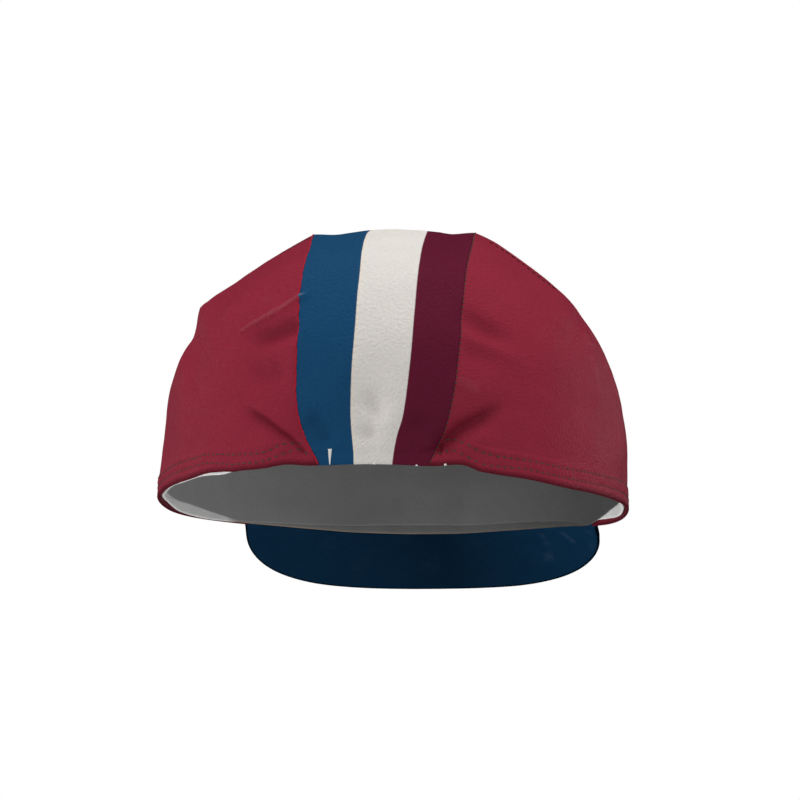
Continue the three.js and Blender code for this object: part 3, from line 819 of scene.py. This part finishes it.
def peak_cover(name, node, lower, material, face_up):
    """One of the peak's covers; lower is its underside's height above the peak's."""
    place = np.sin(np.linspace(-1, 1, PEAK_COLUMNS) * math.pi / 2)[:, None]
    length = peak_reach(place) + peak_inset(place)
    v = edge_spaced(length[:, 0], PEAK_ROWS, ROLLED_EDGE) / length
    place = np.broadcast_to(place, v.shape)
    bottom, share = peak_surface(place, v, lower)
    top, _ = peak_surface(place, v, lower + PEAK_COVER)
    relief = np.zeros_like(v)
    for start, end, width, rise in PEAK_FOLDS:
        ends = (a * size for a, size in zip((*start, *end), (FOLD_SPAN, PEAK_LENGTH) * 2))
        away = distance_in_plan(place * FOLD_SPAN, share * PEAK_LENGTH, *ends)
        relief = relief + rise * np.exp(-((away / width) ** 2))
    from_edge = (1 - v) * length
    relief = relief * smoothstep(from_edge, 1, 6) * smoothstep(share, 0.02, 0.15)
    relief = relief + PEAK_RIPPLE * ripple(bottom)
    curl = roll(from_edge, PEAK_COVER / 2)
    bottom[..., 2] += PEAK_RELIEF * relief + curl
    top[..., 2] += PEAK_RELIEF * relief - curl
    weave = np.stack([place * WEAVE_SPAN, share * PEAK_LENGTH], -1) * MM
    # The underside's relief goes in the map for painted highlights on its wrinkle crests, and the distance
    # from the edge for painted shade along it
    marks = np.stack([np.zeros_like(relief) if face_up else relief, from_edge], -1)
    outer, inner = (top, bottom) if face_up else (bottom, top)
    piece = closed_sheet(name, outer, inner, marks, weave, (material,) * 2)
    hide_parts(node)
    return piece


# Stitches
STITCH_RINGS = 7
STITCH_SIDES = 6
CORD_SIDES = 10
CORD_RADIUS = 0.24
# How far from the seam's edge its row lies, and how near the hem's edge it may come
SEAM_ROW = 0.25
SEAM_ROW_END = 0.6
# Sizes of stitches: from one to the next, length, radius, height of the middle, and dip of the ends
HEM_STITCH = (2.4, 1.6, 0.17, 0.09, 0.18)
SEAM_STITCH = (1.7, 0.9, 0.17, 0.02, 0.1)
DART_STITCH = (2.1, 1.7, 0.19, 0.08, 0.14)
draws = np.random.default_rng(11)


def picked(at, along, values):
    """Points or directions at some distances along a line."""
    return np.stack([np.interp(at, along, values[:, k]) for k in range(3)], -1)


def across_columns(grid, height):
    """The line at some height above the hem across a panel's columns, and its outward directions."""
    points, normals = [], []
    missing = grid["above_hem"] - height(grid["from_nape"])
    for face, normal, gap, from_seam in zip(grid["face"], grid["normals"], missing, grid["from_seam"]):
        over = np.nonzero(gap > 0)[0]
        if len(over) and over[-1] + 1 < len(gap) and from_seam[over[-1]] > 0.5:
            k = over[-1]
            share = gap[k] / (gap[k] - gap[k + 1])
            points.append(face[k] + (face[k + 1] - face[k]) * share)
            normals.append(normal[k])
    return np.array(points), np.array(normals)


def hem_rows(grid):
    return [across_columns(grid, row) for row in HEM_STITCHES]


def seam_row(grid):
    """The line a little way from the seam, along a panel, and its outward directions."""
    points, normals = [], []
    columns_of = (grid[key] for key in ("face", "normals", "from_seam", "above_hem"))
    for face, normal, from_seam, above_hem in zip(*columns_of):
        if above_hem[0] > SEAM_ROW_END:
            points.append(picked(SEAM_ROW, from_seam, face))
            normals.append(picked(SEAM_ROW, from_seam, normal))
    return np.array(points), np.array(normals)


def row_on_crown(places):
    """A sewn line over places of the plan, and its outward directions."""
    return dressed(*smooth_places(places, 40))[:2]


def strand_faces(rings, around, start=0):
    """The faces of a closed strand whose points are numbered from start on, ring after ring."""
    index = np.arange(rings * around).reshape(rings, around) + start
    turned = np.roll(index, -1, axis=1)
    faces = np.stack([index[:-1], turned[:-1], turned[1:], index[1:]], -1).reshape(-1, 4).tolist()
    return faces + [index[0][::-1].tolist(), index[-1].tolist()]


def strand_piece(name, points, faces, material):
    mesh = bpy.data.meshes.new(name)
    mesh.from_pydata((points * MM).tolist(), [], faces)
    mesh.materials.append(material)
    mesh.polygons.foreach_set("use_smooth", np.ones(len(mesh.polygons), dtype=bool))
    return make_object(name, mesh)


def stitches(name, lines, material, size):
    """Rows of short sewn threads along lines with their outward directions."""
    period, length, radius, lift, dip = size
    t = np.linspace(-1, 1, STITCH_RINGS)
    thick = radius * (1 - np.abs(t) ** 3 * 0.75)
    bow = (lift - dip * t**4)[:, None]
    round_it = np.linspace(0, 2 * math.pi, STITCH_SIDES, endpoint=False)[:, None]
    points, faces = [], []
    for line, normals in lines:
        arc = travelled(line[None])[0]
        at = np.arange(period * 0.5, arc[-1] - period * 0.4, period)
        at = at + draws.uniform(-0.12, 0.12, len(at))
        centre, up = picked(at, arc, line), unit(picked(at, arc, normals))
        along = unit(picked(at + 0.6, arc, line) - picked(at - 0.6, arc, line))
        side = unit(np.cross(up, along))
        along = unit(along + side * draws.uniform(-0.09, 0.09, (len(at), 1)))
        side = unit(np.cross(up, along))
        long = length * draws.uniform(0.9, 1.08, len(at))
        for k in range(len(at)):
            spine = centre[k] + along[k] * (t * long[k] / 2)[:, None] + up[k] * bow
            ring = side[k] * np.cos(round_it) + up[k] * np.sin(round_it)
            faces += strand_faces(STITCH_RINGS, STITCH_SIDES, len(points) * STITCH_RINGS * STITCH_SIDES)
            points.append((spine[:, None] + ring[None] * thick[:, None, None]).reshape(-1, 3))
    return strand_piece(name, np.concatenate(points), faces, material)


def seam_cord(name, grid, material):
    """A closed round cord that winds a little along a panel's seam."""
    line, outwards = seam_row(grid)
    sideways = unit(np.cross(outwards, np.gradient(line, axis=0)))
    count = np.arange(len(line))[:, None]
    line = line + sideways * (0.1 * np.sin(count * 1.9) + 0.06 * np.sin(count * 0.83)) - 0.02 * outwards
    tangent = unit(np.gradient(line, axis=0))
    side = unit(np.cross(tangent, [0.0, 0.0, 1.0]))[:, None]
    up = np.cross(side, tangent[:, None])
    round_it = np.linspace(0, 2 * math.pi, CORD_SIDES, endpoint=False)[:, None]
    rings = line[:, None] + CORD_RADIUS * (side * np.cos(round_it) + up * np.sin(round_it))
    return strand_piece(name, rings.reshape(-1, 3), strand_faces(len(line), CORD_SIDES), material)


def thread_end(name, middle, low, high, low_width, high_width):
    """A loose end of thread that lies on the hem."""
    share, across = np.linspace(0, 1, 9), np.linspace(-0.5, 0.5, 5)[:, None]
    height = np.tile(low + (high - low) * share, (len(across), 1))
    turn = NAPE - np.radians(middle + across * (low_width + (high_width - low_width) * share))
    face, normals = in_from_rim(turn, inward_at(turn, height), hemmed=True)
    outer, inner = face + normals * (0.16 - 0.2 * np.abs(across))[..., None], face - normals * 0.1
    marks = np.stack([height, height], -1)
    closed_sheet(name, outer, inner, marks, marks * MM, (white_thread,) * 2)


# MATERIALS
# From thread to thread of the cotton, and the size of the soft mottling, in metres
COTTON_THREADS = 0.00062
MOTTLE_SIZE = 0.012
GLOSS = 0.12


def linear(*levels):
    """An sRGB colour, from 0 to 255, as linear light."""
    return tuple(c / 255 / 12.92 if c <= 10 else ((c / 255 + 0.055) / 1.055) ** 2.4 for c in levels)


def add_node(tree, kind, *inputs, output=0, **settings):
    """One output of a new shader node. Each input is a place with a socket to link or a value."""
    node = tree.nodes.new("ShaderNode" + kind)
    for key, value in settings.items():
        setattr(node, key, value)
    for place, value in inputs:
        if isinstance(value, bpy.types.NodeSocket):
            tree.links.new(value, node.inputs[place])
        else:
            node.inputs[place].default_value = value
    return node.outputs[output]


class Shader:
    """A material's nodes, with its pattern drawn in the cloth's own map in metres."""

    def __init__(self, name, roughness, gloss=GLOSS):
        self.material = bpy.data.materials.new(name)
        self.material.use_nodes = True
        self.tree = self.material.node_tree
        self.surface = self.tree.nodes["Principled BSDF"]
        self.surface.inputs["Roughness"].default_value = roughness
        self.surface.inputs["Specular IOR Level"].default_value = gloss
        self.weave = self.map("weave")

    def add(self, kind, *inputs, **settings):
        return add_node(self.tree, kind, *inputs, **settings)

    def map(self, name):
        return self.add("UVMap", uv_map=name)

    def part(self, vector, axis):
        return self.add("SeparateXYZ", (0, vector), output=axis)

    def across(self):
        """Metres from the cap's middle towards the wearer's left."""
        return self.part(self.add("TexCoord", output="Object"), 0)

    def math(self, operation, *values):
        return self.add("Math", *enumerate(values), operation=operation)

    def noise(self, size, detail=2.0, vector=None):
        place = self.weave if vector is None else vector
        return self.add("TexNoise", ("Vector", place), ("Scale", 1 / size), ("Detail", detail), output="Fac")

    def between(self, value, low, high, to_low=0.0, to_high=1.0):
        return self.add("MapRange", (0, value), (1, low), (2, high), (3, to_low), (4, to_high))

    def mix(self, share, first, second):
        """A mix of two colours, each a socket or red, green and blue."""
        inputs = [(0, share)]
        for place, colour in ((6, first), (7, second)):
            linked = isinstance(colour, bpy.types.NodeSocket)
            inputs.append((place, colour if linked else (*colour, 1.0)))
        return self.add("Mix", *inputs, output=2, data_type="RGBA")

    def scaled(self, colour, factor):
        """A colour times a value."""
        grey = self.add("CombineXYZ", (0, factor), (1, factor), (2, factor))
        return self.add("VectorMath", (0, colour), (1, grey), operation="MULTIPLY")

    def waves(self, axis, period):
        at = self.math("MULTIPLY", self.part(self.weave, axis), 2 * math.pi / period)
        return self.math("SINE", at)

    def set(self, place, value):
        self.tree.links.new(value, self.surface.inputs[place])

    def finish(self, colour, period, depth, grain=0.06, mottle=0.04, roughness=(0.5, 0.66), size=0.0013):
        """Colour with a plain weave's threads, grain and soft mottling, and the same as relief."""
        threads = self.math("MULTIPLY", self.waves(0, period), self.waves(1, period))
        fibres = self.noise(size, 3.0)
        clouds = self.noise(MOTTLE_SIZE, 2.0)
        light = self.math("MULTIPLY_ADD", threads, grain * 0.3, 1.0)
        light = self.math("ADD", light, self.between(fibres, 0.3, 0.7, -grain, grain))
        light = self.math("ADD", light, self.between(clouds, 0.3, 0.7, -mottle, mottle))
        self.set("Base Color", self.scaled(colour, light))
        self.set("Roughness", self.between(fibres, 0.3, 0.7, *roughness))
        height = self.math("MULTIPLY_ADD", threads, 0.06, self.math("MULTIPLY", fibres, 2.0))
        self.set("Normal", self.add("Bump", ("Height", height), ("Distance", depth), ("Strength", 1.0)))
        return self.material


RED = linear(144, 38, 58)
BLUE = linear(19, 72, 111)
WHITE = linear(226, 221, 215)
MAROON = linear(97, 20, 47)
NAVY = linear(5, 41, 67)
LINING = linear(140, 140, 140)
TAPE = linear(247, 247, 246)
THREAD = linear(78, 80, 68)
# Where the pale line beside the blue stripe lies, as the stripes are counted
EDGE_LINE = 1.97


def red_cloth():
    shader = Shader("red_cotton_cloth", 0.6)
    marks = shader.map("print_and_shade")
    folds, from_hem = shader.part(marks, 0), shader.part(marks, 1)
    # Painted highlight: lighter along the crests of the folds
    colour = shader.mix(shader.between(folds, 0.45, 1.1, 0.0, 0.4), RED, linear(172, 92, 102))
    # Painted shade: darker in the hollows of the folds
    colour = shader.mix(shader.between(folds, -0.5, -2.6, 0.0, 0.5), colour, linear(92, 20, 34))
    # Painted shade: darker near the hem's edge, where the rolled hem and its underside lie in shade
    colour = shader.mix(shader.between(from_hem, 1.9, 0.6, 0.0, 0.75), colour, linear(80, 15, 28))
    return shader.finish(colour, COTTON_THREADS, 0.00021, mottle=0.03, roughness=(0.42, 0.56), size=0.00095)


def striped_cloth():
    shader = Shader("striped_cotton_cloth", 0.6)
    marks = shader.map("print_and_shade")
    stripe, folds = shader.part(marks, 0), shader.part(marks, 1)
    wander = shader.between(shader.noise(0.0012, 2.0), 0.3, 0.7, -0.0015, 0.0015)
    stripe = shader.math("ADD", stripe, wander)
    colour = shader.mix(shader.between(stripe, 0.992, 1.008), MAROON, WHITE)
    near = shader.math("ABSOLUTE", shader.math("SUBTRACT", stripe, EDGE_LINE))
    line = shader.between(near, 0.035, 0.015, 0.0, 0.35)
    colour = shader.mix(line, colour, linear(238, 222, 198))
    colour = shader.mix(shader.between(stripe, 1.985, 2.0), colour, BLUE)
    # Painted highlight: paler blue-grey along the crests of the folds
    colour = shader.mix(shader.between(folds, 0.7, 1.2, 0.0, 0.2), colour, linear(190, 200, 212))
    return shader.finish(colour, COTTON_THREADS, 0.00024, grain=0.035, mottle=0.015, size=0.00095)


def lining_cloth():
    shader = Shader("lining", 0.7)
    across = shader.across()
    # Painted light and shade: the lining is lighter towards the wearer's left and darker towards the right
    right, left = shader.between(across, -0.07, 0, -0.7, 0), shader.between(across, 0, 0.07, 1.09, 1.42)
    side_lit_lining = shader.scaled(LINING, shader.math("ADD", right, left))
    return shader.finish(side_lit_lining, 0.0008, 0.00005, mottle=0.02, roughness=(0.7, 0.8))


def navy_cloth():
    shader = Shader("navy_cotton_cloth", 0.6, gloss=0.03)
    marks = shader.map("print_and_shade")
    # Painted highlight: paler streaks on the crests of the underside's wrinkles, broken into patches
    wrinkle_highlight = shader.between(shader.part(marks, 0), 0.02, 0.42, 0.0, 0.32)
    highlight_patches = shader.between(shader.noise(0.0028, 3.0), 0.38, 0.6, 0.25, 1.0)
    # Painted light: the peak is lighter towards its ends, most at the right end, and darker in the middle
    across = shader.part(shader.weave, 0)
    right, left = (shader.between(across, 0.0, *ends) for ends in ((-0.0583, 0.68, 1.6), (0.0583, 0.68, 1.2)))
    colour = shader.scaled(NAVY, shader.math("MAXIMUM", right, left))
    colour = shader.mix(shader.math("MULTIPLY", wrinkle_highlight, highlight_patches), colour, linear(64, 84, 112))
    # Painted shade: a dark line along the peak's edge
    edge = shader.between(shader.part(marks, 1), 0.9, 1.9)
    return shader.finish(shader.mix(edge, linear(2, 9, 20), colour), COTTON_THREADS, 0.00006)


def tape_cloth():
    """White, but painted grey round the front as painted shade, browner at that grey's lower edge as painted
    shade, and the grey lighter towards the wearer's left as painted light.
    """
    shader = Shader("white_tape_cloth", 0.7)
    marks = shader.map("print_and_shade")
    turn = shader.part(marks, 0)
    # Painted shade: the tape is painted grey round the front, between these angles from the nape
    front = shader.math("MINIMUM", shader.between(turn, 113.5, 117.5), shader.between(turn, 239.0, 234.0))
    # Painted shade: browner along the lower edge of the grey front
    edge = shader.between(shader.part(marks, 1), 0.2, 0.8)
    grey = shader.mix(edge, linear(112, 93, 76), linear(113, 113, 112))
    # Painted light: the grey is lighter towards the wearer's left and darker towards the right
    grey = shader.scaled(grey, shader.between(shader.across(), -0.06, 0.04, 0.6, 1.9))
    return shader.finish(shader.mix(front, TAPE, grey), 0.0009, 0.00006, grain=0.04)


def elastic_cloth():
    shader = Shader("white_elastic_cloth", 0.7)
    ribs = shader.waves(1, 0.0013)
    colour = shader.mix(shader.between(ribs, -1, 1), linear(206, 202, 196), TAPE)
    return shader.finish(colour, 0.0008, 0.00012, grain=0.05)


def thread(name, rgb):
    shader = Shader(name, 0.7)
    twist = shader.noise(0.0004, 1.0, shader.add("TexCoord", output="Object"))
    shader.set("Base Color", shader.mix(shader.between(twist, 0.3, 0.7), tuple(0.8 * c for c in rgb), rgb))
    shader.set("Normal", shader.add("Bump", ("Height", twist), ("Distance", 0.0001), ("Strength", 0.6)))
    return shader.material


# THE CAP
red, striped, lining, navy = red_cloth(), striped_cloth(), lining_cloth(), navy_cloth()
tape_white, elastic_white = tape_cloth(), elastic_cloth()
hem_thread = thread("hem_thread", THREAD)
red_thread = thread("red_thread", linear(176, 34, 54))
dark_thread = thread("dark_thread", linear(52, 30, 32))
white_thread = thread("white_thread", linear(240, 238, 234))
left_cloth, left_grid = panel_piece(1, "left_panel_cloth", "left_panel", (red, lining))
right_cloth, right_grid = panel_piece(-1, "right_panel_cloth", "right_panel", (red, lining))
strip_cloth = strip_piece("center_strip_cloth", "center_strip", (striped, lining))

# Places of the plan along the two short darts near the top
LEFT_DART = ((0.185, 0.385), (0.209, 0.358), (0.24, 0.365), (0.265, 0.375))
RIGHT_DART = ((-0.225, 0.346), (-0.28, 0.333), (-0.329, 0.332), (-0.384, 0.33), (-0.42, 0.31))
stitches("left_hem_stitches", hem_rows(left_grid), hem_thread, HEM_STITCH)
stitches("right_hem_stitches", hem_rows(right_grid), hem_thread, HEM_STITCH)
seam_cord("left_seam_cord", left_grid, red_thread)
stitches("right_seam_stitches", [seam_row(right_grid)], hem_thread, SEAM_STITCH)
stitches("left_top_stitches", [row_on_crown(LEFT_DART)], dark_thread, DART_STITCH)
stitches("right_top_stitches", [row_on_crown(RIGHT_DART)], dark_thread, DART_STITCH)

# Tape, lining and elastic
# The lower edges of tape and lining: angle, millimetres above the rim
TAPE_EDGE = columns(
    (-180, 0.3), (-125, 0.3), (-118, 0.1), (-114.5, 0.9), (-111.5, 1.85), (-105, 1.75), (-97, 1.0),
    (-90, 0.6), (-80, 0.9), (-62, 0.9), (-20, 0.9), (26, 0.9), (31, 0.55), (37, 0.4), (42, 1.0), (50, 1.3),
    (56, 1.3), (62, 1.0), (72, 0.7), (79, 0.9), (86, 1.3), (92, 1.1), (98, 0.6), (104, 0.3), (112, 0.05),
    (125, 0.2), (180, 0.3),
)
LINING_EDGE = columns(
    (-186, 3.6), (-180, 3.7), (-170, 3.7), (-162, 3.4), (-154, 3.2), (-138, 2.9), (-122, 1.6), (-117, 0.2),
    (-114, 0.4), (-108, 2.4), (-99, 4.4), (-90, 4.4), (-60, 4.4), (60, 4.4), (78, 3.5), (86, 3.4),
    (94, 3.6), (102, 3.9), (110, 3.3), (118, 2.1), (126, 0.6), (134, 1.0), (150, 1.8), (158, 2.4),
    (166, 3.0), (174, 3.5), (180, 3.7), (186, 3.7),
)
tape_angles = NAPE + np.linspace(math.radians(20.4), math.radians(339.6), 400)
elastic_angles = NAPE + np.radians(np.linspace(-19.9, 19.9, 180))
tape_ends = (curve(*TAPE_EDGE)(from_nape(tape_angles)), TAPE_HEIGHT)
elastic_ends = (ELASTIC_EDGE, ELASTIC_HEIGHT)
hem_tape = band_piece(
    "hem_tape_cloth", "hem_tape", tape_angles, *tape_ends, TAPE_THICKNESS, tape_white, "white_tape"
)
crown_lining = lining_piece("crown_lining", curve(*LINING_EDGE), lining)
back_elastic = band_piece(
    "back_elastic_cloth",
    "back_elastic",
    elastic_angles,
    *elastic_ends,
    ELASTIC_THICKNESS,
    elastic_white,
    "white_elastic",
)

# Peak
under_cloth = peak_cover("peak_under_cloth", "peak_under", 0.0, navy, False)
top_cloth = peak_cover("peak_top_cloth", "peak_top", PEAK_COVER + PEAK_GAP, navy, True)

# White ends of thread in the middle panel's hem: name, angle, heights of the lower and upper end above the
# rim, and widths there in degrees
THREAD_ENDS = (
    ("thread_end", 9.6, 0.3, 4.7, 0.2, 0.8),
    ("thread_speck_1", 0.3, 0.0, 0.45, 0.6, 0.4),
    ("thread_speck_2", -8.4, 0.0, 0.4, 0.5, 0.3),
    ("thread_speck_3", -14.4, 0.0, 0.55, 0.6, 0.4),
)
for end_row in THREAD_ENDS:
    thread_end(*end_row)

# LIGHT
# Round lamps aimed at one point: name, place, size in metres, power, and whether they give only gloss
LAMP_AIM = (0.0, 0.0, 0.03)
LAMPS = (
    ("top_light", (0.0, 0.35, 1.3), 1.0, 6.6, False),
    ("left_light", (1.25, 0.55, 0.4), 0.9, 1.4, False),
    ("right_light", (-1.25, 0.45, 0.4), 0.9, 4.0, False),
    ("back_light", (0.1, 1.35, 0.95), 1.2, 3.9, False),
    ("left_rim_light", (1.1, -0.75, 0.3), 0.4, 0.35, True),
    ("right_rim_light", (-1.1, -0.85, 0.35), 0.4, 1.0, True),
    ("left_low_light", (1.1, 0.2, -0.35), 0.6, 4.0, False),
)
# How bright the world is from straight below, at 0, to straight above
SKY = ((0, 0.6), (1, 0.7), (0.46, 0.55), (0.56, 0.3))
FLOOR_HALF = 2.5
FLOOR_LEVEL = -0.4


def lamp(name, place, size, power, only_gloss):
    """A round lamp. It gives either shade and colour or only gloss."""
    data = bpy.data.lights.new(name, "AREA")
    data.shape = "DISK"
    data.size = size
    data.energy = power
    light = linked(name, data)
    back = unit(np.array(place) - np.array(LAMP_AIM))
    right = unit(np.cross([0.0, 0.0, 1.0], back) + 1e-9)
    stand(light, right, np.cross(back, right), back, place)
    light.visible_camera = False
    light.visible_diffuse = not only_gloss
    light.visible_glossy = only_gloss


def light_from_all_round():
    """A world that is white to the camera and lights the cap by SKY."""
    world = bpy.data.worlds.new("world")
    bpy.context.scene.world = world
    world.use_nodes = True
    world.cycles_visibility.glossy = False
    tree = world.node_tree
    upwards = add_node(tree, "SeparateXYZ", (0, add_node(tree, "TexCoord", output="Generated")), output=2)
    ramp = add_node(tree, "ValToRGB", (0, add_node(tree, "MapRange", (0, upwards), (1, -1.0))))
    stops = ramp.node.color_ramp.elements
    for height, strength in SKY:
        stop = stops[height] if height in (0, 1) else stops.new(height)
        stop.color = (strength, strength, strength, 1.0)
    seen = add_node(tree, "LightPath", output="Is Camera Ray")
    background = tree.nodes["Background"]
    background.inputs["Color"].default_value = (1.0, 1.0, 1.0, 1.0)
    tree.links.new(add_node(tree, "Mix", (0, seen), (2, ramp), (3, 1.0)), background.inputs["Strength"])


def pale_floor():
    mesh = bpy.data.meshes.new("floor")
    corners = [(x * FLOOR_HALF, y * FLOOR_HALF, FLOOR_LEVEL) for x, y in ((-1, -1), (1, -1), (1, 1), (-1, 1))]
    mesh.from_pydata(corners, [], [(0, 1, 2, 3)])
    floor = linked("floor", mesh)
    paint = bpy.data.materials.new("floor_paint")
    paint.use_nodes = True
    surface = paint.node_tree.nodes["Principled BSDF"]
    surface.inputs["Base Color"].default_value = (0.9, 0.9, 0.9, 1.0)
    surface.inputs["Roughness"].default_value = 0.9
    mesh.materials.append(paint)
    floor.visible_diffuse = False
    floor.visible_glossy = False
    floor.visible_shadow = False
    return floor


for lamp_row in LAMPS:
    lamp(*lamp_row)
light_from_all_round()
pale_floor()
bpy.context.scene.view_settings.view_transform = "Standard"
